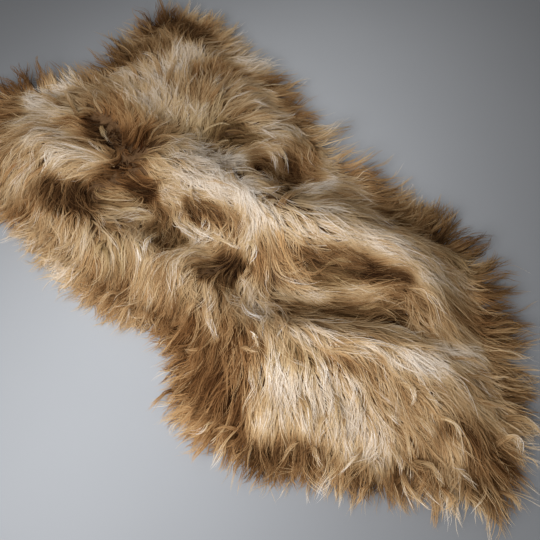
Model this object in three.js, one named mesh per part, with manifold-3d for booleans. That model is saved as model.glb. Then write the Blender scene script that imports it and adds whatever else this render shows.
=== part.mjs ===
// A long-haired sheepskin rug, lying fleece side up on a floor. It is one hide, tanned with its wool on and
// trimmed to the animal's own outline: rear end towards -Y, neck and the two foreleg ends towards +Y.
// It isn't pulled flat. A long soft fold runs down the back, a shorter one lies beside it across the rump,
// and between them the wool sinks into a deep pocket. Under each fold the skin lifts off the floor.
// The fleece is a lumpy slab as thick as the wool lies, and pointed locks of wool stand out round its rim.
// Millimetres, +Z up. The origin is on the floor, in the middle of the overall box.

import * as THREE from "three";
import { mergeVertices } from "three/addons/utils/BufferGeometryUtils.js";
import Module from "manifold-3d";

// How the wool lies
const FLEECE_THICKNESS = 56; // skin to the top of the lying wool
const RIM_THICKNESS = 24; // of the wool at the trimmed edge of the skin
const RIM_ROLL = 80; // width over which the wool rolls down to that edge
const FOLD_FADE = 100; // folds die out over this distance from the edge
const SKIN_STIFFNESS = 9; // the skin stays on the floor where a fold would lift it less than this

// How finely the body is worked: spokes run from a line down the back out to the rim, loops cross them
const BACK_LINE = { x: 5, rearY: -300, neckY: 320 };
const SPOKES = 140;
const TOP_LOOPS = [1, 0.975, 0.935, 0.88, 0.82, 0.75, 0.68, 0.6, 0.52, 0.44, 0.36, 0.28, 0.2, 0.13, 0.06];
const UNDER_LOOPS = [1, 0.82, 0.68, 0.54, 0.4, 0.26, 0.13, 0.06];
const CREST_STEPS = 24;
const FINISH = 0.2; // faces that lie this flat to one another are joined

// The locks round the rim
const LOCK_COUNT = 162;
const LOCK_ROOT = { depth: 30, width: 25, height: 30 };
const LOCK_TIP = { width: 2.6, height: 2.2 };
const LOCK_STEPS = 5;
const LOCK_SPREAD = 0.5; // how much the length of one lock differs from the next, as a share
const LOCK_LEAN = 0.3; // radians, from one lock to the next
const LOCK_COMB = { lean: 0.3, waves: 7 }; // radians, whole groups of locks leaning together
const LOCK_BEND = 0.5; // radians that a lock turns along its length

// The edge of the skin seen from above, anticlockwise from the rear. reach is how far the locks stand out
// over it there.
const RIM = [
  { x: 30, y: -555, reach: 54 },
  { x: 75, y: -540, reach: 50 },
  { x: 125, y: -500, reach: 48 },
  { x: 185, y: -410, reach: 48 },
  { x: 270, y: -260, reach: 48 },
  { x: 275, y: -175, reach: 50 },
  { x: 245, y: -115, reach: 40 },
  { x: 245, y: -40, reach: 46 },
  { x: 240, y: 60, reach: 44 },
  { x: 255, y: 185, reach: 44 },
  { x: 265, y: 285, reach: 48 },
  { x: 260, y: 365, reach: 42 },
  { x: 275, y: 460, reach: 48 },
  { x: 260, y: 515, reach: 50 },
  { x: 210, y: 555, reach: 52 },
  { x: 145, y: 525, reach: 44 },
  { x: 15, y: 470, reach: 38 },
  { x: -110, y: 520, reach: 44 },
  { x: -155, y: 535, reach: 50 },
  { x: -190, y: 520, reach: 50 },
  { x: -250, y: 455, reach: 50 },
  { x: -275, y: 390, reach: 50 },
  { x: -260, y: 275, reach: 46 },
  { x: -245, y: 125, reach: 48 },
  { x: -210, y: 0, reach: 46 },
  { x: -175, y: -105, reach: 38 },
  { x: -220, y: -190, reach: 52 },
  { x: -200, y: -300, reach: 52 },
  { x: -110, y: -400, reach: 52 },
  { x: -10, y: -495, reach: 56 },
];

// The folds, each a crest line of the lifted skin. The steep side is to the left of the line, going from its
// first row to its last, and lift is how far the skin stands off the floor there.
const FOLDS = [
  {
    steepWidth: 48,
    gentleWidth: 84,
    crest: [
      { x: 165, y: -405, lift: 18 },
      { x: 155, y: -305, lift: 52 },
      { x: 102, y: -140, lift: 76 },
      { x: 28, y: -15, lift: 70 },
      { x: -5, y: 110, lift: 52 },
      { x: -35, y: 250, lift: 40 },
      { x: -60, y: 345, lift: 22 },
    ],
  },
  {
    steepWidth: 58,
    gentleWidth: 38,
    crest: [
      { x: 120, y: -430, lift: 12 },
      { x: 55, y: -350, lift: 42 },
      { x: 0, y: -290, lift: 52 },
      { x: -50, y: -236, lift: 48 },
      { x: -98, y: -180, lift: 30 },
    ],
  },
  {
    steepWidth: 62,
    gentleWidth: 55,
    crest: [
      { x: -105, y: 195, lift: 26 },
      { x: -140, y: 285, lift: 34 },
      { x: -185, y: 360, lift: 24 },
    ],
  },
  {
    steepWidth: 52,
    gentleWidth: 46,
    crest: [
      { x: -112, y: -35, lift: 22 },
      { x: -175, y: 75, lift: 30 },
      { x: -215, y: 160, lift: 20 },
    ],
  },
];

// Where the wool itself stands higher or lies lower than its even thickness
const LUMPS = [
  { x: 92, y: 36, radius: 34, rise: 16 }, // whorl
  { x: 134, y: 14, radius: 26, rise: -20 }, // hollow beside the whorl
  { x: 92, y: 165, radius: 42, rise: -20 },
  { x: -58, y: 312, radius: 30, rise: -26 },
  { x: 128, y: 300, radius: 70, rise: 20 },
  { x: 210, y: 100, radius: 60, rise: 12 },
  { x: 110, y: -205, radius: 34, rise: -20 }, // deep end of the pocket
  { x: 52, y: -150, radius: 46, rise: -14 },
  { x: -62, y: -72, radius: 46, rise: -16 },
  { x: -110, y: 150, radius: 34, rise: -14 },
  { x: 238, y: -255, radius: 55, rise: 16 },
  { x: 165, y: 470, radius: 60, rise: 14 },
  { x: -225, y: 420, radius: 60, rise: 10 },
  { x: -130, y: -330, radius: 60, rise: 12 },
  { x: 40, y: -460, radius: 60, rise: 10 },
];

// Locks matted together leave the top uneven all over: two wave trains that cross, each bent by a longer wave
const MATTING = { height: 6, wave: 88, bend: 0.9, bendWave: 230 };

function shuffledNumbers(seed) {
  let state = seed;
  return () => {
    state = (state + 0x6d2b79f5) | 0;
    let mixed = Math.imul(state ^ (state >>> 15), 1 | state);
    mixed = (mixed + Math.imul(mixed ^ (mixed >>> 7), 61 | mixed)) ^ mixed;
    return ((mixed ^ (mixed >>> 14)) >>> 0) / 2 ** 32;
  };
}

const smooth = (share) => {
  const held = Math.min(1, Math.max(0, share));
  return held * held * (3 - 2 * held);
};

// The edge of the skin at evenly spaced places all round, with the way out and the reach of the wool there.
function rimPlaces(count) {
  const line = new THREE.CatmullRomCurve3(RIM.map((row) => new THREE.Vector3(row.x, row.y, row.reach)), true);
  line.arcLengthDivisions = 2000;
  return Array.from({ length: count }, (_, i) => {
    const { x, y, z: reach } = line.getPointAt(i / count);
    const ahead = line.getTangentAt(i / count).setZ(0).normalize();
    return { edge: new THREE.Vector3(x, y, 0), outwards: new THREE.Vector3(ahead.y, -ahead.x, 0), reach };
  });
}

const edge = rimPlaces(SPOKES).map((place) => place.edge);
const crests = FOLDS.map(({ crest }) =>
  new THREE.CatmullRomCurve3(crest.map((row) => new THREE.Vector3(row.x, row.y, row.lift))).getPoints(CREST_STEPS),
);

// How far a place is from a line between two points on the floor, and on which side of it. At the ends of the
// line, where it is neither left nor right, side is 0; left is 1.
function fromLine(place, from, to) {
  const along = new THREE.Vector2(to.x - from.x, to.y - from.y);
  const away = new THREE.Vector2(place.x - from.x, place.y - from.y);
  const share = THREE.MathUtils.clamp(away.dot(along) / along.lengthSq(), 0, 1);
  const left = along.cross(away) / along.length();
  const distance = away.addScaledVector(along, -share).length();
  return { share, distance, side: distance > 0 ? left / distance : 0 };
}

function distanceFromEdge(place) {
  return Math.min(...edge.map((from, i) => fromLine(place, from, edge[(i + 1) % SPOKES]).distance));
}

// Height of the lifted skin over the floor.
function skinLift(place) {
  const lifts = FOLDS.map(({ steepWidth, gentleWidth }, fold) => {
    const crest = crests[fold];
    const parts = crest.slice(1).map((to, i) => {
      const { share, distance, side } = fromLine(place, crest[i], to);
      const width = THREE.MathUtils.lerp(gentleWidth, steepWidth, (1 + side) / 2);
      return THREE.MathUtils.lerp(crest[i].z, to.z, share) * Math.exp(-((distance / width) ** 2));
    });
    return Math.max(...parts);
  });
  return Math.hypot(...lifts) * smooth(distanceFromEdge(place) / FOLD_FADE);
}

function underside(place) {
  return Math.max(0, skinLift(place) - SKIN_STIFFNESS);
}

function lumps(place) {
  return LUMPS.reduce((rise, lump) => {
    const distance = Math.hypot(place.x - lump.x, place.y - lump.y);
    return rise + lump.rise * Math.exp(-((distance / lump.radius) ** 2));
  }, 0);
}

function matting(place) {
  const turn = 2 * Math.PI;
  const bent = (a, b) => Math.sin((turn * a) / MATTING.wave + MATTING.bend * Math.sin((turn * b) / MATTING.bendWave));
  const [a, b] = [place.x + place.y, place.x - place.y].map((mixed) => mixed * Math.SQRT1_2);
  return MATTING.height * bent(a, b) * bent(b, a);
}

function fleeceTop(place) {
  const inside = Math.min(1, distanceFromEdge(place) / RIM_ROLL);
  const roll = Math.sqrt(1 - (1 - inside) ** 2);
  const thickness = FLEECE_THICKNESS + lumps(place) + matting(place);
  return skinLift(place) + THREE.MathUtils.lerp(RIM_THICKNESS, thickness, roll);
}

// A closed solid through rings of as many points each, anticlockwise seen from where the rings go. Each end
// ring is filled in from side to side.
function loft(rings) {
  const size = rings[0].length;
  const faces = [];
  for (let ring = 0; ring < rings.length - 1; ring++) {
    for (let i = 0; i < size; i++) {
      const here = ring * size + i;
      const next = ring * size + ((i + 1) % size);
      faces.push(here, next, here + size, next, next + size, here + size);
    }
  }
  const last = (rings.length - 1) * size;
  for (let low = 0, high = size - 1; high - low > 1; high--) {
    faces.push(high, low + 1, low, last + low, last + low + 1, last + high);
    low++;
    if (high - low > 1) faces.push(high, high - 1, low, last + low, last + high - 1, last + high);
  }
  return new THREE.BufferGeometry()
    .setAttribute("position", new THREE.Float32BufferAttribute(rings.flat().flatMap((p) => p.toArray()), 3))
    .setIndex(faces);
}

// The body of the fleece with the skin beneath it: loops out under it to the edge and back over it.
function fleeceBody() {
  const spokes = edge.map((end) => {
    const onBack = THREE.MathUtils.clamp(end.y, BACK_LINE.rearY, BACK_LINE.neckY);
    return { end, start: new THREE.Vector3(BACK_LINE.x, onBack, 0) };
  });
  const loop = (share, height) =>
    spokes.map(({ start, end }) => {
      const place = start.clone().lerp(end, share);
      return place.setZ(height(place));
    });
  const under = UNDER_LOOPS.toReversed().map((share) => loop(share, underside));
  return loft([...under, ...TOP_LOOPS.map((share) => loop(share, fleeceTop))]);
}

// One lock: three-sided, its flat side down on the floor, narrowing and turning a little towards its tip.
function rimLock(root, heading, length, bend) {
  const place = root.clone();
  const step = length / LOCK_STEPS;
  const rings = [];
  for (let i = 0; i <= LOCK_STEPS; i++) {
    const share = i / LOCK_STEPS;
    const angle = heading + bend * share;
    const ahead = new THREE.Vector3(Math.cos(angle), Math.sin(angle), 0);
    const sideways = new THREE.Vector3(-ahead.y, ahead.x, 0);
    const halfWidth = THREE.MathUtils.lerp(LOCK_ROOT.width, LOCK_TIP.width, share ** 1.7) / 2;
    const height = THREE.MathUtils.lerp(LOCK_ROOT.height, LOCK_TIP.height, share);
    rings.push([
      place.clone().addScaledVector(sideways, -halfWidth),
      place.clone().addScaledVector(sideways, halfWidth),
      place.clone().setZ(height),
    ]);
    place.addScaledVector(ahead, step);
  }
  return loft(rings);
}

function rimLocks() {
  const random = shuffledNumbers(8);
  return rimPlaces(LOCK_COUNT).map(({ edge: place, reach, outwards }, i) => {
    const root = place.clone().addScaledVector(outwards, -LOCK_ROOT.depth);
    const length = LOCK_ROOT.depth + reach * (1 + LOCK_SPREAD * (random() - 0.75));
    const combed = LOCK_COMB.lean * Math.sin((2 * Math.PI * LOCK_COMB.waves * i) / LOCK_COUNT);
    const heading = Math.atan2(outwards.y, outwards.x) + combed + LOCK_LEAN * (random() - 0.5);
    return rimLock(root, heading, length, LOCK_BEND * (random() - 0.5));
  });
}

const wasm = await Module();
wasm.setup();

function solid(geometry) {
  const merged = mergeVertices(geometry);
  return new wasm.Manifold(
    new wasm.Mesh({
      numProp: 3,
      vertProperties: merged.attributes.position.array,
      triVerts: new Uint32Array(merged.index.array),
    }),
  );
}

function geometryOf(shape) {
  const mesh = shape.getMesh();
  return new THREE.BufferGeometry()
    .setAttribute("position", new THREE.BufferAttribute(mesh.vertProperties, mesh.numProp))
    .setIndex(new THREE.BufferAttribute(mesh.triVerts, 1));
}

const joined = rimLocks().reduce((whole, lock) => whole.add(solid(lock)), solid(fleeceBody()));
const hide = geometryOf(joined.asOriginal().simplify(FINISH));
hide.computeBoundingBox();
const middle = hide.boundingBox.getCenter(new THREE.Vector3());
hide.translate(-middle.x, -middle.y, 0);

const wool = new THREE.MeshStandardMaterial({ color: 0xa8875a, roughness: 0.92, metalness: 0 });
const sheepskin = new THREE.Mesh(hide, wool);
sheepskin.name = "sheepskin";

const rug = new THREE.Group();
rug.name = "sheepskin_rug";
rug.add(sheepskin);

export default rug;
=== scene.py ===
import math

import bmesh
import bpy
import numpy as np
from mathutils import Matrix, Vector
from mathutils.bvhtree import BVHTree


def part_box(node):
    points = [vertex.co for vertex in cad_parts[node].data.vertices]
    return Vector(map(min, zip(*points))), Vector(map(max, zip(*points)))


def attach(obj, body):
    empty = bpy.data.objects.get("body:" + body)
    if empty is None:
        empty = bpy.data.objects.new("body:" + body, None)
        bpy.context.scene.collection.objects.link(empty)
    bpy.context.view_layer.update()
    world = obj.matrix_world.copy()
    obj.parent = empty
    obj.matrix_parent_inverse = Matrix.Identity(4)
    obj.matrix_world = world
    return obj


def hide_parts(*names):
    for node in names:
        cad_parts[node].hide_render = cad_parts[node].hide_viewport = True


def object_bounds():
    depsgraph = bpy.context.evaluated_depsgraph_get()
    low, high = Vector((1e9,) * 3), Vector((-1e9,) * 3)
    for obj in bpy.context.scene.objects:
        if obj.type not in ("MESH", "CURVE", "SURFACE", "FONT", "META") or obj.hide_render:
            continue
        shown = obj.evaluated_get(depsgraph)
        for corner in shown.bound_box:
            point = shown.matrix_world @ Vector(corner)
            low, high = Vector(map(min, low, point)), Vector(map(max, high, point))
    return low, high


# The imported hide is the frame.
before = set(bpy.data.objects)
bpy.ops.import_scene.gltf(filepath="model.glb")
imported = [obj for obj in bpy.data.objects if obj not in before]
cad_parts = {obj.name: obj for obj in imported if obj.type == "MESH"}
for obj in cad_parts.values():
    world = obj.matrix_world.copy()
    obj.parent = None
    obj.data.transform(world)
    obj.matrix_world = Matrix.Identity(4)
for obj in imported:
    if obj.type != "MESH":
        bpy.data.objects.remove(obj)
solid_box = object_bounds()
bpy.ops.object.select_all(action="DESELECT")

# Camera: stands behind the left hind corner and looks down along the back, as in the photograph. The plain
# view transform shows the colours below as they are set.
CAMERA_PLACE = (-0.4321, -0.6732, 1.0731)
CAMERA_WAY = (0.3452, 0.4581, -0.8192)
CAMERA_FIELD = 38  # degrees, the same across and up

bpy.ops.object.camera_add(location=CAMERA_PLACE)
camera = bpy.context.object
camera.rotation_euler = Vector(CAMERA_WAY).to_track_quat("-Z", "Y").to_euler()
camera.data.sensor_width = 36
camera.data.lens = camera.data.sensor_width / 2 / math.tan(math.radians(CAMERA_FIELD / 2))
bpy.context.scene.camera = camera
bpy.context.scene.view_settings.view_transform = "Standard"

# Studio floor: one sheet of pale paper with a faint mottle, laid just under the hide. A pool of light is
# painted
# on it: palest under the middle of the hide, and falling off to a third of that far from it.
PAPER_SIZE = 14
PAPER_DROP = 0.0006
PAPER_TINTS = [(0.3, (0.233, 0.241, 0.256)), (0.7, (0.246, 0.254, 0.269))]
FAR_PAINTED_LIGHT = 0.45
PAINTED_LIGHT_FALL_OFF = (-0.15, 0.87, -2.18, 2.9, -4.56)  # by x, y, x squared, x times y and y squared
PAINTED_LIGHT_START = -0.15


class Shade:
    """A socket of a material's nodes. Sums on it add Math nodes, and node() adds any other."""

    def __init__(self, tree, out=None):
        self.tree, self.out = tree, out

    def node(self, kind, settings=None, output=0, **values):
        """Adds a node. Its sockets go by name, or by number where that comes after an underscore."""
        made = self.tree.nodes.new(kind)
        for name, setting in (settings or {}).items():
            if name == "stops":
                for place, colour in setting:
                    stop = made.color_ramp.elements.new(place)
                    stop.color = (*colour, 1)
                made.color_ramp.elements.remove(made.color_ramp.elements[0])
                made.color_ramp.elements.remove(made.color_ramp.elements[-1])
            else:
                setattr(made, name, setting)
        for name, value in values.items():
            socket = made.inputs[int(name[1:]) if name[1:].isdigit() else name.replace("_", " ")]
            if isinstance(value, Shade):
                self.tree.links.new(value.out, socket)
            else:
                socket.default_value = value
        return Shade(self.tree, made.outputs[output] if made.outputs else None)

    def maths(self, operation, first, second):
        return self.node("ShaderNodeMath", {"operation": operation}, _0=first, _1=second)

    def __add__(self, other):
        return self.maths("ADD", self, other)

    def __sub__(self, other):
        return self.maths("SUBTRACT", self, other)

    def __rsub__(self, other):
        return self.maths("SUBTRACT", other, self)

    def __mul__(self, other):
        return self.maths("MULTIPLY", self, other)

    def __pow__(self, other):
        return self.maths("POWER", self, other)

    def __rpow__(self, other):
        return self.maths("POWER", other, self)

    __radd__, __rmul__ = __add__, __mul__


def new_material(name):
    """A material with an empty node tree, a Shade to start its sums from, and its Object coordinates."""
    material = bpy.data.materials.new(name)
    material.use_nodes = True
    material.node_tree.nodes.clear()
    shade = Shade(material.node_tree)
    return material, shade, shade.node("ShaderNodeTexCoord", output="Object")


def surface(shade, **values):
    """Ends a material in one Principled shader with these values on its sockets."""
    shader = shade.node("ShaderNodeBsdfPrincipled", **values)
    shade.node("ShaderNodeOutputMaterial", Surface=shader)


def ramp(shade, stops, place):
    """The colour at a place from 0 to 1 between stops, each a place and a colour."""
    return shade.node("ShaderNodeValToRGB", {"stops": stops}, output="Color", Fac=place)


paper, shade, place = new_material("studio_paper")
cloud = shade.node("ShaderNodeTexNoise", Vector=place, Scale=2.2, Detail=4.0)
tint = ramp(shade, PAPER_TINTS, cloud)
x, y = (shade.node("ShaderNodeSeparateXYZ", output=axis, Vector=place) for axis in (0, 1))
# Painted pool of light: the paper's colour is scaled up near the middle of the hide and down far from it.
by_x, by_y, by_xx, by_xy, by_yy = PAINTED_LIGHT_FALL_OFF
painted_light_fall_off = by_x * x + by_y * y + by_xx * x * x + by_xy * x * y + by_yy * y * y
painted_light_pool = FAR_PAINTED_LIGHT + 2.718 ** (painted_light_fall_off + PAINTED_LIGHT_START)
tint = shade.node("ShaderNodeVectorMath", {"operation": "SCALE"}, _0=tint, Scale=painted_light_pool)
surface(shade, Base_Color=tint, Roughness=0.9)
bpy.ops.mesh.primitive_plane_add(size=PAPER_SIZE, location=(0, 0, -PAPER_DROP))
floor = bpy.context.object
floor.name = "studio_floor"
floor.data.materials.append(paper)

# Light: one big soft window to the left of the camera, the ceiling that it brightens, and a little light
# from all round.
WINDOW = {"aim": (0.12, 0.18, 0), "size": 0.9, "power": 23, "colour": (0.98, 0.99, 1.0), "spread": 140}
CEILING = {"aim": (0, 0, 0), "size": 2.0, "power": 12.5, "colour": (1.0, 0.98, 0.95)}
AIR_COLOUR = (1.0, 0.99, 0.97, 1)
AIR_STRENGTH = 0.28


def soft_light(name, place, aim, size, power, colour, spread=180):
    """A round light, in metres, watts and degrees of spread."""
    bpy.ops.object.light_add(type="AREA", location=place)
    light = bpy.context.object
    light.name = name
    light.rotation_euler = (Vector(aim) - Vector(place)).to_track_quat("-Z", "Y").to_euler()
    light.data.shape = "DISK"
    light.data.size = size
    light.data.energy = power
    light.data.color = colour
    light.data.spread = math.radians(spread)


soft_light("window", (-0.95, -0.55, 1.10), **WINDOW)
soft_light("ceiling_bounce", (-0.5, 0.0, 2.4), **CEILING)
world = bpy.data.worlds.new("studio_air")
world.use_nodes = True
air = world.node_tree.nodes["Background"].inputs
air["Color"].default_value = AIR_COLOUR
air["Strength"].default_value = AIR_STRENGTH
bpy.context.scene.world = world

# The lie of the hide: how high the wool and the skin stand over each place of the floor, and how far that
# place is from the trimmed edge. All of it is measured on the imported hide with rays, on a grid of 4 mm.
GRID = 0.004
MARGIN = 0.07
FAR_AWAY = 9.0
EDGE_THICKNESS = 0.0215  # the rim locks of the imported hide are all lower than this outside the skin
EDGE_SMOOTHING = 0.006
OUTLINE_SMOOTHING = 0.02
CREST_SMOOTHING = 0.009
HEIGHT_SMOOTHING = 0.005
RIM_HEIGHT = 0.046  # of the wool over the trimmed edge
RIM_DROOP = 0.20  # it stands this much lower for each metre past the edge,
RIM_LOWEST = 0.03  # but no lower than this,
HANG_LIFT = 0.4  # and wool that hangs further out stands this much of that higher
RIM_BAND = 0.02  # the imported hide's height goes over into the rim's across this width

hide_low, hide_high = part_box("sheepskin")
across = np.arange(hide_low.x - MARGIN, hide_high.x + MARGIN, GRID)
along_back = np.arange(hide_low.y - MARGIN, hide_high.y + MARGIN, GRID)
spots = np.stack(np.meshgrid(across, along_back, indexing="ij"), -1)
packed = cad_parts["sheepskin"].data
tree = BVHTree.FromPolygons([v.co for v in packed.vertices], [p.vertices for p in packed.polygons])


def rays(start, way):
    """The height at which a ray up or down from a start height meets the hide, and 0 where it misses."""
    heights = np.zeros((len(across), len(along_back)))
    for i, x in enumerate(across):
        for j, y in enumerate(along_back):
            hit = tree.ray_cast(Vector((x, y, start)), Vector((0, 0, way)))[0]
            heights[i, j] = hit.z if hit else 0
    return heights


def blurred(field, width):
    """The field smoothed over a width in metres."""
    reach = int(3 * width / GRID)
    weights = np.exp(-0.5 * (np.arange(-reach, reach + 1) * GRID / width) ** 2)
    weights /= weights.sum()
    for axis in (0, 1):
        padded = np.pad(field, [(reach, reach) if a == axis else (0, 0) for a in (0, 1)], "edge")
        field = sum(
            w * np.take(padded, range(k, k + field.shape[axis]), axis) for k, w in enumerate(weights)
        )
    return field


def sampled(field, places):
    """The field's values at places, whose last axis begins with x and y."""
    i = np.clip((places[..., 0] - across[0]) / GRID, 0, len(across) - 1.001)
    j = np.clip((places[..., 1] - along_back[0]) / GRID, 0, len(along_back) - 1.001)
    a, b = i.astype(int), j.astype(int)
    i, j = (i - a)[..., None], (j - b)[..., None]
    rows = field if field.ndim == 3 else field[..., None]
    this_row = rows[a, b] * (1 - i) + rows[a + 1, b] * i
    next_row = rows[a, b + 1] * (1 - i) + rows[a + 1, b + 1] * i
    found = this_row * (1 - j) + next_row * j
    return found if field.ndim == 3 else found[..., 0]


def near(x, y, width):
    """1 at x and y, and less and less away from there over a width, at each place of the grid."""
    return np.exp(-0.5 * ((spots[..., 0] - x) ** 2 + (spots[..., 1] - y) ** 2) / width**2)


def unit(ways, least=1e-9):
    """The same ways at length 1, or under 1 for those that were shorter than least."""
    return ways / np.maximum(np.linalg.norm(ways, axis=-1, keepdims=True), least)


# Where the rim wool hangs further out or less far than elsewhere. Each row is a place on the floor, how much
# further the wool reaches there, and the half width of that place, in mm.
RIM_HANG = np.array([
    (295, 4, 65, 60),
    (299, 80, 35, 40),
    (304, 160, 10, 30),
    (-126, 589, 75, 50),
    (-33, 556, 50, 40),
    (66, 568, 65, 30),
    (212, 621, 65, 30),
    (319, 290, 25, 40),
    (336, -242, 65, 35),
    (302, -332, 40, 35),
    (265, -399, 35, 35),
    (227, -448, 25, 30),
    (-229, -347, 14, 25),
    (-106, -469, 34, 30),
    (-52, -531, 26, 30),
    (-19, -570, 44, 30),
    (16, -596, 26, 25),
    (58, -593, 18, 25),
    (-217, -58, -28, 28),
    (-229, -126, -12, 30),
    (-283, 159, -12, 30),
    (-295, 247, -12, 25),
    (-239, -294, -36, 20),
    (-132, -440, -24, 16),
    (301, -90, -34, 26),
    (310, 40, 50, 30),
    (-80, -498, -20, 16),
    (156, -538, -12, 50),
], float)
hang = sum(extra * near(x, y, width) for x, y, extra, width in RIM_HANG / 1000)

top = rays(1, -1)
inside = blurred((top > EDGE_THICKNESS).astype(float), EDGE_SMOOTHING) > 0.5
neighbours = [np.roll(inside, step, axis) for axis in (0, 1) for step in (1, -1)]
brink = spots[inside & ~np.logical_and.reduce(neighbours)]
from_edge = np.full(inside.shape, FAR_AWAY)
for place in brink:
    np.minimum(from_edge, np.hypot(*np.moveaxis(spots - place, -1, 0)), out=from_edge)
from_edge = np.where(inside, from_edge, -from_edge)
outwards = -unit(np.stack(np.gradient(blurred(from_edge, OUTLINE_SMOOTHING), GRID), -1))

covered = np.maximum(blurred(inside.astype(float), CREST_SMOOTHING), 0.05)
crest_height = blurred(np.where(inside, top, 0), CREST_SMOOTHING) / covered
rim_height = np.maximum(RIM_HEIGHT + RIM_DROOP * from_edge, RIM_LOWEST) + HANG_LIFT * np.clip(hang, 0, None)
on_hide = np.clip(0.5 + from_edge / RIM_BAND, 0, 1)
wool_height = blurred(crest_height * on_hide + rim_height * (1 - on_hide), HEIGHT_SMOOTHING)
skin_height = blurred(np.where(inside, rays(-1, 1), 0), HEIGHT_SMOOTHING)

# Skin: one tanned hide about 2 mm thick, trimmed round its edge with a blade. It lies flat on the floor
# and lifts off it under each fold. Only its edge could ever show under the wool.
SKIN_THICKNESS = 0.002
SKIN_PITCH = 0.008
SKIN_TRIM = 0.004  # the wool hides the edge
SKIN_TANS = [(0.25, (0.42, 0.33, 0.22)), (0.55, (0.52, 0.43, 0.30)), (0.8, (0.60, 0.52, 0.38))]
CUT_OFF_PAST = 0.4  # of a square of the grid past its edge; what is nearer is drawn in to the edge
TIMES_DRAWN_IN = 3


def on_the_hide(name, pitch, trim):
    """A flat grid cut to the outline of the hide, a little inside its edge."""
    low, high = spots[0, 0], spots[-1, -1]
    steps = [int(s) for s in (high - low) / pitch]
    bpy.ops.mesh.primitive_grid_add(
        x_subdivisions=steps[0], y_subdivisions=steps[1], size=1, location=(0, 0, 0)
    )
    piece = bpy.context.object
    piece.name = piece.data.name = name
    bm = bmesh.new()
    bm.from_mesh(piece.data)
    for vert in bm.verts:
        vert.co.x = low[0] + (vert.co.x + 0.5) * (high - low)[0]
        vert.co.y = low[1] + (vert.co.y + 0.5) * (high - low)[1]
    inwards = sampled(from_edge, np.array([v.co for v in bm.verts])) - trim
    outside = [v for v, d in zip(list(bm.verts), inwards) if d < -CUT_OFF_PAST * pitch]
    bmesh.ops.delete(bm, geom=outside, context="VERTS")
    edge = [v for v in bm.verts if v.is_boundary]
    for _ in range(TIMES_DRAWN_IN):
        places = np.array([v.co for v in edge])
        push = (sampled(from_edge, places) - trim)[:, None] * sampled(outwards, places)
        for vert, (x, y) in zip(edge, push):
            vert.co.x += x
            vert.co.y += y
    bm.to_mesh(piece.data)
    bm.free()
    return piece


def places_of(piece):
    """The places of a piece's vertices."""
    places = np.empty(len(piece.data.vertices) * 3, np.float32)
    piece.data.vertices.foreach_get("co", places)
    return places.reshape(-1, 3).astype(float)


def put(piece, places):
    """Puts a piece's vertices at these places."""
    piece.data.vertices.foreach_set("co", places.astype(np.float32).ravel())
    piece.data.update()


skin = on_the_hide("skin", SKIN_PITCH, SKIN_TRIM)
laid = places_of(skin)
laid[:, 2] = np.maximum(sampled(skin_height, laid), 0) + SKIN_THICKNESS
put(skin, laid)
thickness = skin.modifiers.new("thickness", "SOLIDIFY")
thickness.thickness = SKIN_THICKNESS
thickness.offset = -1
bpy.ops.object.modifier_apply(modifier=thickness.name)
bpy.ops.object.shade_smooth()

suede, shade, place = new_material("tanned_suede")
cloud = shade.node("ShaderNodeTexNoise", Vector=place, Scale=9.0, Detail=5.0, Roughness=0.6)
nap = shade.node("ShaderNodeTexNoise", Vector=place, Scale=900.0, Detail=3.0)
tan = ramp(shade, SKIN_TANS, cloud * 0.8 + nap * 0.2)
bump = shade.node("ShaderNodeBump", Height=nap, Strength=0.35, Distance=0.0006)
surface(shade, Base_Color=tan, Roughness=0.75 + cloud * 0.2, Normal=bump)
skin.data.materials.append(suede)
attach(skin, "root")

# Underwool: the short dense wool next to the skin, matted into one mass. It is dark brown, and fills the
# fleece from the skin to about 26 mm under the tips. It shows only where the long locks part.
UNDERWOOL_PITCH = 0.0065
UNDERWOOL_TRIM = 0.006
UNDER_THE_TIPS = 0.026
OVER_THE_SKIN = 1.2 * SKIN_THICKNESS  # its underside stands just clear of the skin
THINNEST = 0.003  # at its edge; it gets thicker by THICKENS for each metre in, up to FULL_FROM
THICKENS = 0.25
FULL_FROM = 0.02
TUFT_RELIEF = 0.0035
UNDERWOOL_BROWNS = [(0.3, (0.070, 0.036, 0.016)), (0.55, (0.140, 0.078, 0.038)), (0.8, (0.24, 0.145, 0.078))]
PULLED_UP = 0.1  # far enough to tell the upper side from the underside

underwool = on_the_hide("underwool", UNDERWOOL_PITCH, UNDERWOOL_TRIM)
bpy.ops.object.mode_set(mode="EDIT")
bpy.ops.mesh.select_all(action="SELECT")
bpy.ops.mesh.extrude_region_move(TRANSFORM_OT_translate={"value": (0, 0, PULLED_UP)})
bpy.ops.object.mode_set(mode="OBJECT")
mass = places_of(underwool)
upper = mass[:, 2] > PULLED_UP / 2
floor_side = np.maximum(sampled(skin_height, mass), 0) + OVER_THE_SKIN
relief = TUFT_RELIEF * np.sin(mass[:, 0] * 210 + 2 * np.sin(mass[:, 1] * 90)) * np.sin(
    mass[:, 1] * 190 + 2 * np.sin(mass[:, 0] * 80)
)
tip_side = sampled(wool_height, mass) - UNDER_THE_TIPS + relief
least = floor_side + THINNEST + THICKENS * np.clip(sampled(from_edge, mass), 0, FULL_FROM)
mass[:, 2] = np.where(upper, np.maximum(tip_side, least), floor_side)
put(underwool, mass)
bpy.ops.object.mode_set(mode="EDIT")
bpy.ops.mesh.select_all(action="SELECT")
bpy.ops.mesh.normals_make_consistent(inside=False)
bpy.ops.object.mode_set(mode="OBJECT")
bpy.ops.object.shade_smooth()

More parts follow.
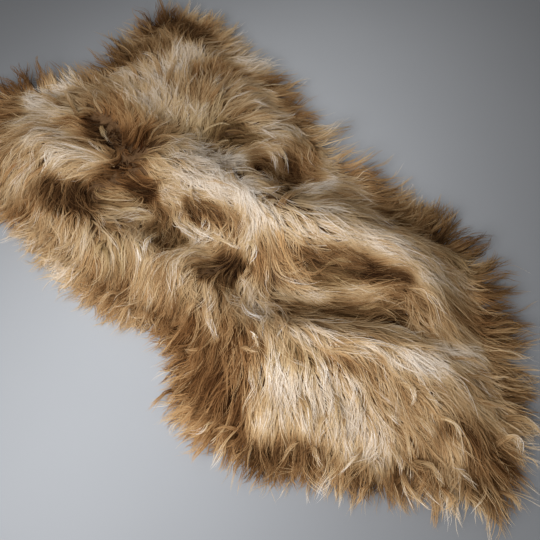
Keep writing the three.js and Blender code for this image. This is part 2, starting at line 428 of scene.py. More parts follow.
matted, shade, place = new_material("matted_underwool")
strands = shade.node("ShaderNodeTexNoise", Vector=place, Scale=420.0, Detail=4.0, Distortion=1.5)
cloud = shade.node("ShaderNodeTexNoise", Vector=place, Scale=30.0, Detail=3.0)
brown = ramp(shade, UNDERWOOL_BROWNS, strands * 0.6 + cloud * 0.4)
bump = shade.node("ShaderNodeBump", Height=strands, Strength=0.8, Distance=0.003)
surface(shade, Base_Color=brown, Roughness=0.95, Specular_IOR_Level=0.05, Normal=bump)
underwool.data.materials.append(matted)
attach(underwool, "root")
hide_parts("sheepskin")

# Long wool: wavy locks 70 to 110 mm long, each a bunch of fibres that draw together to a point. They part
# on the crests and lie down the slopes the way the fleece was last combed and shaken.

# Each row is a place on the hide and the way the wool lies there: x and y in mm, and degrees from +X.
COMBED = np.array([
    (197, 583, 71), (237, 586, 54), (270, 548, 36), (297, 516, 23), (306, 451, 11), (304, 389, -15),
    (113, 533, 104), (63, 540, 122), (133, 472, 74), (168, 414, 57), (190, 361, 52), (226, 346, 25),
    (272, 352, -65), (305, 312, -75), (302, 242, -83), (85, 430, 82), (35, 429, 96), (-7, 496, 117),
    (-52, 516, 129), (-109, 566, 123), (-157, 500, 143), (-117, 479, 150), (-149, 427, 170),
    (-103, 420, 158), (-137, 350, 150), (-185, 391, 179), (-79, 332, 136), (-151, 300, 146),
    (-106, 271, 136), (-196, 334, -153), (-236, 333, -132), (-189, 293, -150), (-147, 255, 171),
    (-40, 320, -95), (-62, 257, -106), (-11, 320, 69), (-31, 248, 66), (25, 293, 52), (84, 337, 62),
    (134, 345, 55), (87, 289, 46), (135, 278, 34), (186, 298, 23), (213, 268, -2), (289, 251, -65),
    (195, 215, -16), (276, 171, -77), (93, 235, 49), (-11, 231, 4), (24, 217, -44), (131, 201, -10),
    (139, 174, -81), (194, 152, -54), (237, 123, -92), (214, 71, -132), (286, 117, -77), (262, 64, -122),
    (311, 65, -71), (291, 36, -57), (284, 1, -64), (252, 10, -106), (286, -40, -44), (265, -65, -76),
    (269, -105, -31), (299, -151, 11), (329, -147, 27), (310, -210, 26), (321, -235, 1), (234, -250, -69),
    (330, -273, -9), (272, -280, -109), (284, -339, -25), (198, -328, -92), (238, -393, -51),
    (199, -402, -64), (189, -469, -88), (143, 113, -44), (149, 66, -124), (66, 9, 150), (84, 85, 58),
    (145, 29, -95), (160, -22, -18), (53, 65, -122), (37, 148, -74), (19, 182, -89), (-26, 180, -92),
    (-54, 166, -91), (-21, 90, -85), (-52, 123, -56), (1, 49, -82), (17, 2, -84), (20, -52, -104),
    (62, -82, -79), (123, -82, -56), (203, -57, -63), (109, -134, -77), (54, -106, -103), (161, -148, -75),
    (168, -209, -75), (129, -195, -65), (196, -250, -81), (141, -249, -74), (144, -284, -88),
    (194, -301, -89), (145, -326, -95), (62, -134, -56), (91, -171, -49), (116, -236, -37),
    (28, -110, -89), (14, -81, -143), (32, -136, -78), (69, -176, -61), (84, -207, -67), (4, -146, -66),
    (28, -191, -58), (58, -215, -37), (90, -246, -16), (2, -199, -55), (43, -244, -43), (88, -272, -31),
    (114, -286, -67), (99, -315, -106), (129, -347, -96), (-65, -228, -103), (-34, -252, -92),
    (-22, -283, -60), (15, -304, -72), (51, -330, -70), (10, -322, -60), (56, -356, -63), (114, -384, -51),
    (156, -408, -63), (58, -399, -66), (101, -438, -75), (157, -473, -85), (-80, -253, -115),
    (-52, -276, -87), (-29, -314, -100), (6, -351, -98), (-103, -288, -126), (-125, -271, -129),
    (-76, -318, -115), (-51, -344, -107), (-26, -379, -101), (7, -407, -91), (35, -444, -88),
    (79, -473, -81), (139, -512, -86), (314, 76, -5), (315, 36, -9), (316, -2, -12), (307, -44, -24),
    (298, 37, 0), (276, -357, -37), (248, -405, -49), (330, -226, 10), (305, -285, -20),
    (-161, -278, -131), (-179, -318, -138), (-164, -353, -147), (-199, -293, -147), (-221, -335, -150),
    (-139, -354, -133), (-111, -374, -127), (-146, -399, -139), (-93, -396, -130), (-117, -427, -154),
    (-61, -412, -126), (-96, -455, -141), (-39, -439, -118), (-73, -481, -132), (-8, -455, -106),
    (-35, -504, -113), (23, -481, -115), (0, -528, -120), (56, -506, -106), (10, -561, -115),
    (87, -540, -106), (107, -554, -107), (27, -591, -105), (-192, -184, -154), (-227, -173, -164),
    (-154, -203, -134), (-178, -241, -142), (-219, -218, -158), (-265, -207, -162), (-210, -264, -169),
    (-254, -273, -164), (-218, -124, -161), (-218, -88, 160), (-199, 243, -120), (-237, 250, -135),
    (-176, 201, -110), (-131, 187, -30), (-105, 159, -37), (-68, 147, -56), (-135, 151, -43),
    (-118, 224, 154), (-58, 107, -87), (-70, 53, -100), (-38, 26, -81), (-36, 57, -78), (-7, -17, -93),
    (-81, 81, -179), (-98, 33, -131), (-62, -9, 137), (-37, -56, 137), (-98, -20, 168), (-132, -29, -131),
    (-116, -68, -128), (-70, -74, -100), (-15, -56, -132), (-47, -99, -139), (-67, -143, -96),
    (-6, -87, -128), (-41, -149, -118), (-121, -122, -120), (-149, -88, -137), (-166, -49, -142),
    (-167, -119, -159), (-146, -157, -142), (-114, -179, -121), (-96, -208, -125), (-131, -226, -128),
    (-260, 300, -132), (-252, 219, -143), (-237, 163, -149), (-277, 190, -143), (-236, 126, -145),
    (-193, 123, -124), (-169, 98, -107), (-225, 84, -146), (-265, 87, -158), (-218, 51, -139),
    (-156, 57, -113), (-151, 13, -129), (-191, 0, -148), (-240, 32, -157), (-195, -29, -151),
    (-232, -26, -170), (-287, 96, 168), (-189, -96, -152),
], float)
COMB_WIDTH = 0.023
UNCOMBED = 0.04  # how much straight outwards counts against a row of the table
RIM_ZONE = 0.03  # the width over which the wool takes on the ways of the rim
RIM_TURN = 0.5  # how far it turns there from its combed way to straight outwards
SHORTEST_WAY = 0.25  # where two ways meet head on, the wool lies shorter


def field_of(weight_of, values, base, base_weight):
    """Values spread over the grid, each by its own weight, over a base that fills the rest."""
    total, mixed = np.full(inside.shape, base_weight), base * base_weight
    for k, value in enumerate(values):
        weight = weight_of(k)
        total = total + weight
        mixed = mixed + weight[..., None] * value
    return mixed / total[..., None]


headings = np.radians(COMBED[:, 2])
flow = field_of(
    lambda k: near(*COMBED[k, :2] / 1000, COMB_WIDTH),
    np.stack([np.cos(headings), np.sin(headings)], -1),
    outwards,
    UNCOMBED,
)
turn = np.clip(1 - (from_edge + 0.01) / RIM_ZONE, 0, 1)[..., None] * RIM_TURN
flow = unit(flow * (1 - turn) + outwards * turn, SHORTEST_WAY)

# Undyed wool weathers at its tips: pale cream on the crests, rusty on one flank. The brown in the hollows is
# partly the wool's own colour and partly painted shade.
# Each row is a streak from one place to another, in mm: its half width, its tone from 0, nearly black, to
# 10, cream, and its warmth from -1, olive, to 1, rusty.
STREAKS = np.array([
    (197, 583, 235, 482, 40, 3.5, 0.1), (299, 526, 312, 435, 35, 7.5, 0.3), (57, 549, 124, 457, 34, 4, 0),
    (124, 420, 180, 399, 30, 9, 0), (185, 353, 208, 319, 29, 5.5, 0.6), (279, 354, 305, 305, 21, 9, 0),
    (295, 275, 299, 184, 23, 5, 0.2), (75, 453, 66, 325, 32, 8.5, 0.2), (-51, 518, -127, 480, 23, 9.5, 0),
    (-145, 589, -60, 543, 26, 3.5, 0.2), (-163, 514, -176, 483, 27, 5, 0.5),
    (-157, 431, -92, 422, 26, 8.5, 0), (-102, 384, -96, 318, 17, 5.5, 0.6),
    (-175, 369, -110, 350, 17, 9, 0), (-81, 252, -165, 312, 16, 9, 0), (-62, 344, -62, 257, 25, 2, 0),
    (-69, 239, -71, 229, 20, 1.5, 0.6), (-23, 354, -12, 298, 28, 6.5, 0.7),
    (-21, 265, -67, 184, 18, 4.5, 0.9), (58, 313, 102, 248, 30, 8.5, -0.1),
    (134, 294, 140, 287, 26, 6, 0.1), (189, 276, 236, 244, 26, 8, 0), (77, 227, 123, 231, 29, 7.5, -0.4),
    (121, 206, 142, 164, 23, 4, -0.3), (173, 175, 220, 117, 17, 8.5, 0), (268, 161, 281, 147, 15, 5, 0.3),
    (123, 87, 117, 72, 18, 3.5, 0.2), (154, 98, 134, 46, 10, 7.5, 0), (162, 57, 139, 27, 18, 2, 0.1),
    (202, 65, 187, 19, 20, 5.5, 0.7), (278, 84, 207, 7, 17, 8, 0), (291, 42, 273, -6, 25, 6.5, 0.3),
    (295, -23, 277, -83, 21, 5, 0.2), (69, -35, 191, -18, 14, 9.5, 0), (21, 155, 17, 2, 39, 9.5, 0),
    (79, 106, 68, 86, 23, 9.5, 0), (-35, 193, -26, 128, 23, 8, -0.1), (19, -22, 101, -119, 32, 9.5, 0),
    (101, -119, 151, -227, 26, 9, 0.1), (151, -227, 180, -314, 22, 8.5, 0.1),
    (50, -124, 91, -171, 14, 3.5, 0.1), (101, -200, 125, -257, 19, 0.5, 0),
    (50, -164, 89, -200, 14, 4.5, -0.3), (8, -76, 28, -102, 21, 6.5, 0.6),
    (15, -119, 36, -143, 14, 7, 0.2), (-1, -140, 30, -188, 12, 8.5, 0),
    (75, -218, 114, -261, 12, 7.5, 0.2), (-8, -187, 94, -288, 14, 3.5, -0.1),
    (109, -280, 136, -313, 15, 5.5, 0), (180, -327, 203, -355, 19, 4.5, 0.5),
    (-52, -240, -28, -279, 15, 8.5, 0.2), (3, -285, 40, -320, 13, 7, 0.4),
    (-23, -295, 79, -397, 14, 9.5, 0), (93, -380, 156, -408, 13, 8.5, 0),
    (-81, -243, -58, -271, 19, 7, -0.4), (-32, -306, 14, -340, 13, 5, 0.4),
    (-118, -268, -53, -335, 26, 9.5, 0), (-157, -273, -173, -310, 18, 9, 0.1),
    (-108, -314, -72, -404, 29, 9, 0), (-110, -361, -124, -404, 13, 6, 0.3),
    (-56, -384, -57, -442, 22, 9, 0.15), (-204, -324, -160, -371, 26, 3.5, 0.2),
    (-107, -439, -99, -470, 20, 4.5, 0), (-51, -471, -3, -498, 23, 5.5, 0.2),
    (0, -503, 32, -490, 15, 8.5, 0), (45, -485, 67, -547, 24, 4.5, 0.3), (22, -545, 37, -582, 23, 5, 0),
    (98, -464, 137, -522, 20, 7, 0), (5, -397, 56, -442, 23, 7.5, 0.1),
    (203, -415, 171, -496, 22, 4.5, -0.1), (248, -137, 305, -184, 31, 4.5, -0.1),
    (250, -249, 280, -287, 20, 6, -0.3), (331, -248, 276, -357, 27, 3.5, -0.1),
    (210, -377, 248, -405, 25, 3.5, -0.1), (-166, -145, -183, -247, 41, 3.5, 0.6),
    (-203, -140, -252, -178, 24, 5, 0.5), (-240, -226, -225, -266, 27, 6, 0.5),
    (-179, -65, -208, -95, 21, 5, 0.4), (-127, -102, -141, -149, 10, 8, 0),
    (-158, -107, -159, -114, 21, 4.5, 0.7), (-210, 257, -164, 196, 24, 2, 0.1),
    (-84, 169, -70, 144, 16, 1, 0.4), (-145, 195, -113, 156, 17, 6.5, -0.2),
    (-145, 150, -100, 112, 13, 7.5, -0.1), (-40, 66, -2, -23, 15, 2, 0.3), (-54, 121, -62, 6, 11, 8.5, 0),
    (-40, 22, -25, -27, 11, 8, 0), (-96, 72, -94, 30, 19, 4, -0.2), (-101, 3, -48, -15, 11, 7, -0.1),
    (-48, -42, -34, -66, 14, 1, 0), (-83, -40, -70, -74, 14, 3.5, 0), (-8, -44, -15, -66, 11, 8.5, -0.1),
    (0, -73, -2, -81, 12, 6.5, 0.7), (-43, -91, -65, -174, 11, 8.5, 0), (-127, -21, -112, -62, 16, 8, 0),
    (-118, -171, -120, -211, 17, 4.5, 0.4), (-262, 306, -228, 315, 21, 8, 0),
    (-238, 265, -268, 283, 24, 5.5, 0.6), (-250, 214, -241, 157, 24, 7.5, 0.3),
    (-220, 139, -245, 143, 23, 8, 0), (-190, 104, -197, 80, 19, 7.5, -0.2),
    (-208, 49, -210, 24, 22, 5, 0.4), (-256, 68, -219, -20, 26, 6.5, 0.3),
    (-144, 68, -151, 27, 16, 7.5, -0.1), (-122, 217, -90, 204, 18, 4.5, 0.5),
    (-162, 282, -135, 244, 18, 8, 0), (92, -187, 107, -212, 10, 2, 0.6),
    (108, -248, 115, -277, 9, 3.5, 0.2), (88, -175, 104, -196, 7, 9, 0.4), (-71, 328, -81, 290, 8, 5, 0.2),
    (-41, 286, -66, 251, 10, 4, 1), (125, 109, 132, 98, 8, 5, 0.6), (84, 34, 99, 26, 7, 9, 0.2),
    (-86, 120, -62, 79, 10, 4, 0.2), (-46, -13, -27, -42, 7, 4, 0.2), (-58, 27, -45, -12, 7, 7, -0.2),
    (-135, 36, -134, 9, 11, 6, 0.2), (-169, 81, -175, 53, 9, 7, -0.4), (-140, 0, -153, -40, 12, 6, 0.2),
    (-174, 38, -178, 18, 13, 6, 0.3), (-223, 94, -217, 65, 15, 7, 0.4),
    (-262, 131, -253, 95, 17, 8.5, 0.4), (164, -252, 203, -268, 9, 8, 0.6),
    (218, -291, 227, -321, 13, 7, 0.4), (14, -321, 34, -343, 6, 9.5, 0.4),
    (-38, -291, -17, -315, 6, 6, 0.8),
], float)
EVEN_TONE = np.array((6.8, 0.1))  # tone and warmth away from all streaks
EVEN_WEIGHT = 0.06


def near_streak(k):
    """1 along the middle of a streak, a third at its half width, and soon nothing past that."""
    ax, ay, bx, by, width = STREAKS[k, :5] / 1000
    run = np.array([bx - ax, by - ay])
    share = ((spots - (ax, ay)) @ run / max(run @ run, 1e-9)).clip(0, 1)[..., None]
    away = np.linalg.norm(spots - (ax, ay) - share * run, axis=-1)
    return np.exp(-1.1 * (away / width) ** 3)


# The streaks' own colours, with painted shade in the hollows and crevices, spread over the grid.
colour_and_painted_shade = field_of(near_streak, STREAKS[:, 5:7], EVEN_TONE, EVEN_WEIGHT)

random = np.random.default_rng(11)
LOCK_STEPS = 18  # places along the middle line of a lock
ROOTS_PAST = 0.001  # of the trimmed edge
SWINGS = (0.6, 1.4)  # how often a lock swings to and fro along its length
FALLEN = 0.95  # of its height that a lock past the edge may have fallen


def lock_roots(pitch, deepest=FAR_AWAY):
    """Places over the hide about one pitch apart, shaken off their rows, no deeper in than that."""
    rows = np.arange(across[0], across[-1], pitch), np.arange(along_back[0], along_back[-1], pitch)
    x, y = np.meshgrid(*rows)
    roots = np.stack([x.ravel(), y.ravel()], -1) + random.uniform(-0.5, 0.5, (x.size, 2)) * pitch
    inwards = sampled(from_edge, roots)
    return roots[(inwards > -ROOTS_PAST) & (inwards < deepest)]


def wavy(share, shape, size, turns):
    """A wave along a lock or fibre that grows from its root, with its own phase and number of turns."""
    phase = random.uniform(0, 2 * np.pi, shape)
    often = random.uniform(*turns, shape)
    return size * share**0.8 * np.sin(2 * np.pi * often * share + phase)


def lay_lines(roots, length, root_depth, sink, swing, turned):
    """The middle line of each lock, sunk under the top of the wool and turned off its combed way."""
    count = len(roots)
    line = np.zeros((count, LOCK_STEPS, 3))
    line[:, 0, :2] = roots
    share = np.linspace(0, 1, LOCK_STEPS)
    turn = random.normal(0, turned, (count, 1)) + wavy(share, (count, 1), swing, SWINGS)
    for k in range(1, LOCK_STEPS):
        way = sampled(flow, line[:, k - 1])
        c, s = np.cos(turn[:, k]), np.sin(turn[:, k])
        way = np.stack([way[:, 0] * c - way[:, 1] * s, way[:, 0] * s + way[:, 1] * c], -1)
        line[:, k, :2] = line[:, k - 1, :2] + way * (length / (LOCK_STEPS - 1))[:, None]
    height = sampled(wool_height, line)
    past = np.clip(0.5 - sampled(from_edge, line) / RIM_ZONE, 0, 1)
    height = height * (1 - past * random.uniform(0, FALLEN, (count, 1)))
    line[..., 2] = height - root_depth * (1 - share) ** 1.3 - sink[:, None] * (1 - 0.5 * share)
    return line


STRAND_POINTS = 9  # places along a fibre
SHORTEST_STRAND = 0.6  # of its lock
LOCK_TURNS = (0.7, 1.5)  # of the wave that the fibres of a lock share
STRAND_TURNS = (0.8, 1.9)  # of a fibre's own wave
LOOSE_STRAY = 0.0045  # how far the own wave of a loose fibre goes
FLATTENED = 0.6  # locks are this much flatter than they are wide
OFF_THE_FLOOR = 0.0015


def strands_of(lines, radius, per_lock, loose_share, drawn_in, hook, wave, stray):
    """Places along the fibres of each lock, which draw in to its point, hook, wave as one and stray alone."""
    count = len(lines)
    share = np.linspace(0, 1, STRAND_POINTS)
    ends = random.uniform(SHORTEST_STRAND, 1.0, (count, per_lock, 1))
    at = share * ends * (LOCK_STEPS - 1.001)
    k = at.astype(int)
    rows = np.arange(count)[:, None, None]
    f = (at - k)[..., None]
    middle = lines[rows, k] * (1 - f) + lines[rows, k + 1] * f
    ahead = unit(lines[rows, k + 1] - lines[rows, k])
    side = unit(np.cross(ahead, (0, 0, 1.0)))
    over = np.cross(side, ahead)
    angle = random.uniform(0, 2 * np.pi, (count, per_lock, 1))
    out = np.sqrt(random.uniform(0, 1, (count, per_lock, 1))) * radius[:, None, None]
    loose = random.uniform(0, 1, (count, per_lock, 1)) < loose_share
    drawn = np.where(loose, 0.0, random.uniform(*drawn_in, (count, 1, 1)))
    spread = out * (1 - drawn * share)
    stray = np.where(loose, LOOSE_STRAY, stray)
    hooked = random.normal(0, hook, (count, 1, 1)) * share**3
    sideways = spread * np.cos(angle) + hooked + wavy(share, (count, 1, 1), wave, LOCK_TURNS)
    upwards = FLATTENED * spread * np.sin(angle) + wavy(share, (count, 1, 1), FLATTENED * wave, LOCK_TURNS)
    sideways = sideways + wavy(share, (count, per_lock, 1), stray, STRAND_TURNS)
    upwards = upwards + wavy(share, (count, per_lock, 1), 0.7 * stray, STRAND_TURNS)
    points = middle + side * sideways[..., None] + over * upwards[..., None]
    points[..., 2] = np.maximum(points[..., 2], OFF_THE_FLOOR)
    return points.reshape(-1, STRAND_POINTS, 3)


OWN_FACING = 0.28  # the rest of a fibre's shading faces the way the fleece does, which keeps it silky
FACING_SMOOTHING = 0.006
ROLL = 0.4  # radians that a ribbon is rolled about its length, and never more than MOST_ROLL
MOST_ROLL = 0.9
TAPER = 0.75  # of its width that a ribbon loses on the way to its point
slope = np.stack(np.gradient(blurred(wool_height, FACING_SMOOTHING), GRID), -1)
fleece_facing = unit(np.concatenate([-slope, np.ones((*inside.shape, 1))], -1))


def ribbons(name, points, width, tone, warmth):
    """One piece of many fibres: each a narrow ribbon that ends in a point."""
    count = len(points)
    ahead = unit(np.gradient(points, axis=1))
    side = unit(np.cross(ahead, (0, 0, 1.0)))
    over = np.cross(side, ahead)
    roll = np.clip(random.normal(0, ROLL, (count, 1, 1)), -MOST_ROLL, MOST_ROLL)
    side = side * np.cos(roll) + over * np.sin(roll)
    facing = np.cross(side, ahead) * OWN_FACING + sampled(fleece_facing, points) * (1 - OWN_FACING)
    share = np.linspace(0, 1, STRAND_POINTS)[None, :, None]
    half = width[:, None, None] / 2 * random.uniform(0.7, 1.3, (count, 1, 1)) * (1 - TAPER * share**2)
    pairs = np.stack([points - side * half, points + side * half], 2)[:, :-1]
    verts = np.concatenate([pairs.reshape(count, -1, 3), points[:, -1:]], 1)
    each = verts.shape[1]
    quads = np.array([[2 * k, 2 * k + 1, 2 * k + 3, 2 * k + 2] for k in range(STRAND_POINTS - 2)])
    last = np.array([each - 3, each - 2, each - 1])
    starts = (np.arange(count) * each)[:, None]
    corners = np.concatenate([quads.ravel()[None] + starts, last[None] + starts], 1).ravel()
    sizes = np.tile([4] * len(quads) + [3], count)
    mesh = bpy.data.meshes.new(name)
    mesh.vertices.add(count * each)
    mesh.vertices.foreach_set("co", verts.astype(np.float32).ravel())
    mesh.loops.add(len(corners))
    mesh.loops.foreach_set("vertex_index", corners.astype(np.int32))
    mesh.polygons.add(len(sizes))
    mesh.polygons.foreach_set("loop_start", (np.cumsum(sizes) - sizes).astype(np.int32))
    mesh.update(calc_edges=True)
    mesh.shade_smooth()
    facing = np.concatenate([np.repeat(facing[:, :-1], 2, 1), facing[:, -1:]], 1).reshape(-1, 3)
    mesh.normals_split_custom_set_from_vertices(unit(facing))
    along = np.concatenate([np.repeat(share[0, :-1, 0], 2), [1.0]])
    for label, values in (
        ("along", np.tile(along, count)),
        ("tone", np.concatenate([np.repeat(tone[:, :-1], 2, 1), tone[:, -1:]], 1).ravel()),
        ("warmth", np.repeat(warmth, each)),
    ):
        mesh.attributes.new(label, "FLOAT", "POINT").data.foreach_set("value", values.astype(np.float32))
    piece = bpy.data.objects.new(name, mesh)
    bpy.context.scene.collection.objects.link(piece)
    return piece


# The colours of the wool at tones 0, 2, 4, 6, 8 and 10.
PLAIN = [
    (0.020, 0.009, 0.004), (0.072, 0.034, 0.013), (0.205, 0.110, 0.046),
    (0.395, 0.250, 0.120), (0.570, 0.425, 0.255), (0.700, 0.585, 0.415),
]
RUSTY = [
    (0.030, 0.010, 0.003), (0.105, 0.042, 0.014), (0.265, 0.122, 0.043),
    (0.455, 0.250, 0.104), (0.610, 0.412, 0.195), (0.735, 0.575, 0.320),
]
OLIVE = [
    (0.020, 0.012, 0.005), (0.074, 0.050, 0.020), (0.195, 0.138, 0.059),
    (0.380, 0.290, 0.142), (0.560, 0.442, 0.258), (0.700, 0.597, 0.395),
]
ROOTS_DARKER = 1.4  # steps of tone
TIPS_PALER = 0.5
SHINES_THROUGH = 0.35  # of the light

wool, shade, place = new_material("long_wool")
along, tone, warmth = (
    shade.node("ShaderNodeAttribute", {"attribute_name": label}, output="Fac")
    for label in ("along", "tone", "warmth")
)
fleck = shade.node("ShaderNodeTexNoise", Vector=place, Scale=260.0, Detail=2.0)
tone = tone - ROOTS_DARKER * (1 - along) ** 1.6 + TIPS_PALER * along + (fleck - 0.5)
plain, rusty, olive = (
    ramp(shade, [(k / 5, colour) for k, colour in enumerate(colours)], tone * 0.1)
    for colours in (PLAIN, RUSTY, OLIVE)
)
mix = {"data_type": "RGBA"}  # such a Mix node has its colours at 6 and 7 and gives the mixed one at 2
colour = shade.node("ShaderNodeMix", mix, output=2, Factor=warmth, _6=plain, _7=rusty)
colour = shade.node("ShaderNodeMix", mix, output=2, Factor=warmth * -1.0, _6=colour, _7=olive)
fibre = shade.node("ShaderNodeBsdfPrincipled", Base_Color=colour, Roughness=0.65, Specular_IOR_Level=0.02)
glow = shade.node("ShaderNodeBsdfTranslucent", Color=colour)
lit = shade.node("ShaderNodeMixShader", _0=SHINES_THROUGH, _1=fibre, _2=glow)
shade.node("ShaderNodeOutputMaterial", Surface=lit)

# Tufts, in which the locks of a fleece lean together. Only their middle lines are laid, to lean locks on.
TUFT_PITCH = 0.030
TUFT_CREST = 0.007  # how far the middle of a tuft stands over its sides
TUFT_HALF_WIDTH = 0.014
TUFT_LOWERED = 0.003
TUFT_LENGTHS = (0.9, 1.1)
TUFT_SINK = (0.002, 0.005)
TUFT_TONES = 0.5  # how much tufts differ
OWN_PLACE = 0.4  # of its distance to its tuft that a lock keeps
LOCK_LENGTH = 0.112
LONGEST, NECK_SHORTER = 1.15, 0.35  # shares of that length, over the rump and towards the neck
RIM_REACH = 0.066  # how far locks at the edge may reach
FAR_FLANK = (0.8, 0.6)  # the way to the flank where they reach FAR_FLANK_MORE further
FAR_FLANK_MORE = 0.008
INSIDE_MORE = 1.2  # and this much further for each metre that their root is inside the edge


def length_at(roots):
    """Wool is longest over the rump, shortest at the neck, and never hangs far past the trimmed edge."""
    back_share = np.clip((roots[:, 1] + 0.45) / 0.9, 0, 1)
    far_flank = sampled(outwards, roots) @ FAR_FLANK
    past_rim = roots + sampled(outwards, roots) * RIM_ZONE
    reach = RIM_REACH + sampled(hang, past_rim) + FAR_FLANK_MORE * far_flank
    reach = reach + INSIDE_MORE * sampled(from_edge, roots)
    return np.minimum(LOCK_LENGTH * (LONGEST - NECK_SHORTER * back_share), reach)


tuft_roots = lock_roots(TUFT_PITCH)
count = len(tuft_roots)
tuft_length = length_at(tuft_roots) * random.uniform(*TUFT_LENGTHS, count)
sink = random.normal(*TUFT_SINK, count)
tufts = lay_lines(tuft_roots, tuft_length, root_depth=0.026, sink=sink, swing=0.7, turned=0.22)
tuft_tone = random.normal(0, TUFT_TONES, count)


def drawn_to_tufts(lines, hold):
    """Locks lean in on the tuft that they belong to, and stand highest along its middle."""
    owner = np.array([np.argmin(((tuft_roots - root) ** 2).sum(1)) for root in lines[:, 0, :2]])
    pull = hold * np.linspace(0, 1, LOCK_STEPS)[:, None] ** 1.2
    pull = pull * np.clip(sampled(from_edge, lines[:, 0]) / RIM_ZONE, 0.2, 1)[:, None, None]
    lines = lines * (1 - pull) + (tufts[owner] + OWN_PLACE * (lines[:, :1] - tufts[owner, :1])) * pull
    off = np.linalg.norm(lines - tufts[owner], axis=-1)
    lines[..., 2] += TUFT_CREST * np.exp(-((off / TUFT_HALF_WIDTH) ** 2)) - TUFT_LOWERED
    return lines, tuft_tone[owner]


BURIED_PAINTED_SHADE = 60  # steps of painted shade, in tone, for each metre under the top of the wool,
BURIED_TO = 0.02  # down to this depth
PALEST = 10  # tone near which the locks differ less, to LEAST_DIFFERENCE of what they do elsewhere
LEAST_DIFFERENCE = 0.3
RIM_PALER = 0.8
PALE_FROM = 8  # tones past this count for PALE_SHARE only
PALE_SHARE = 0.4


def coloured(points, lock_tone, per_lock, shift, varied):
    """The tone and warmth of each fibre, from where it lies, with painted shade that deepens the further it
    lies under the top of the wool.
    """
    painted = sampled(colour_and_painted_shade, points)
    streak_tone = painted[..., 0]
    # Painted shade: fibres lying deeper under the top of the wool are painted darker.
    depth_for_painted_shade = np.clip(sampled(wool_height, points) - points[..., 2], 0, BURIED_TO)
    tone = streak_tone + np.repeat(lock_tone, per_lock)[:, None] + random.normal(0, varied, (len(points), 1))
    off = tone - streak_tone + shift - BURIED_PAINTED_SHADE * depth_for_painted_shade
    tone = streak_tone + off * np.clip((PALEST - streak_tone) / 4, LEAST_DIFFERENCE, 1)
    tone = tone + RIM_PALER * np.clip(-sampled(from_edge, points) / RIM_ZONE, 0, 1)
    tone = np.where(tone > PALE_FROM, PALE_FROM + PALE_SHARE * (tone - PALE_FROM), tone)
    return tone, painted[:, STRAND_POINTS // 2, 1] + random.normal(0, 0.12, len(points))


# The body of the wool: soft brown locks, set closer together along the rim.
LOCK_PITCH = 0.0120
RIM_PITCH = 0.0075
RIM_DEEP = 0.012
LOCK_LENGTHS = (0.5, 1.1)
LOCK_SINK, LOCK_RAISED = 0.005, 0.002
LOCK_RADIUS = 0.0085
LOCK_RADII = (0.6, 1.3)
LOCK_TONES = 0.45
LOCK_FORM = {"loose_share": 0.2, "drawn_in": (0.3, 0.75), "hook": 0.010, "wave": 0.0038, "stray": 0.0010}
STRANDS_TO_A_LOCK = 11
STRAND_WIDTH = 0.0012

roots = np.concatenate([lock_roots(LOCK_PITCH), lock_roots(RIM_PITCH, RIM_DEEP)])
count = len(roots)
length = length_at(roots) * random.uniform(*LOCK_LENGTHS, count)
sink = np.abs(random.normal(0, LOCK_SINK, count)) - LOCK_RAISED
lines = lay_lines(roots, length, root_depth=0.026, sink=sink, swing=0.30, turned=0.14)
lines, tuft_share = drawn_to_tufts(lines, hold=0.5)
radius = LOCK_RADIUS * random.uniform(*LOCK_RADII, count)
body = strands_of(lines, radius, STRANDS_TO_A_LOCK, **LOCK_FORM)
body_tone, body_warmth = coloured(
    body, tuft_share + random.normal(0, LOCK_TONES, count), STRANDS_TO_A_LOCK, shift=-0.6, varied=0.4
)

# Wisps: a few long pale fibres each, bleached at their ends, that curl over the body of the wool.
WISP_PITCH = 0.0135
WISP_LONGER = 0.006
WISP_LENGTHS = (0.85, 1.2)
WISP_RAISED = (-0.001, 0.006)
WISP_RADII = (0.002, 0.006)
WISP_TONES = 0.7
WISP_FORM = {"loose_share": 0.1, "drawn_in": (0.4, 0.85), "hook": 0.012, "wave": 0.0035, "stray": 0.0006}
STRANDS_TO_A_WISP = 6
WISP_WIDTH = 0.0009

roots = lock_roots(WISP_PITCH)
count = len(roots)
length = (length_at(roots) + WISP_LONGER) * random.uniform(*WISP_LENGTHS, count)
sink = -random.uniform(*WISP_RAISED, count)
lines = lay_lines(roots, length, root_depth=0.024, sink=sink, swing=0.42, turned=0.22)
lines, tuft_share = drawn_to_tufts(lines, hold=0.3)
radius = random.uniform(*WISP_RADII, count)
wisps = strands_of(lines, radius, STRANDS_TO_A_WISP, **WISP_FORM)
wisp_tone, wisp_warmth = coloured(
    wisps, tuft_share + random.normal(0, WISP_TONES, count), STRANDS_TO_A_WISP, shift=1.1, varied=0.3
)

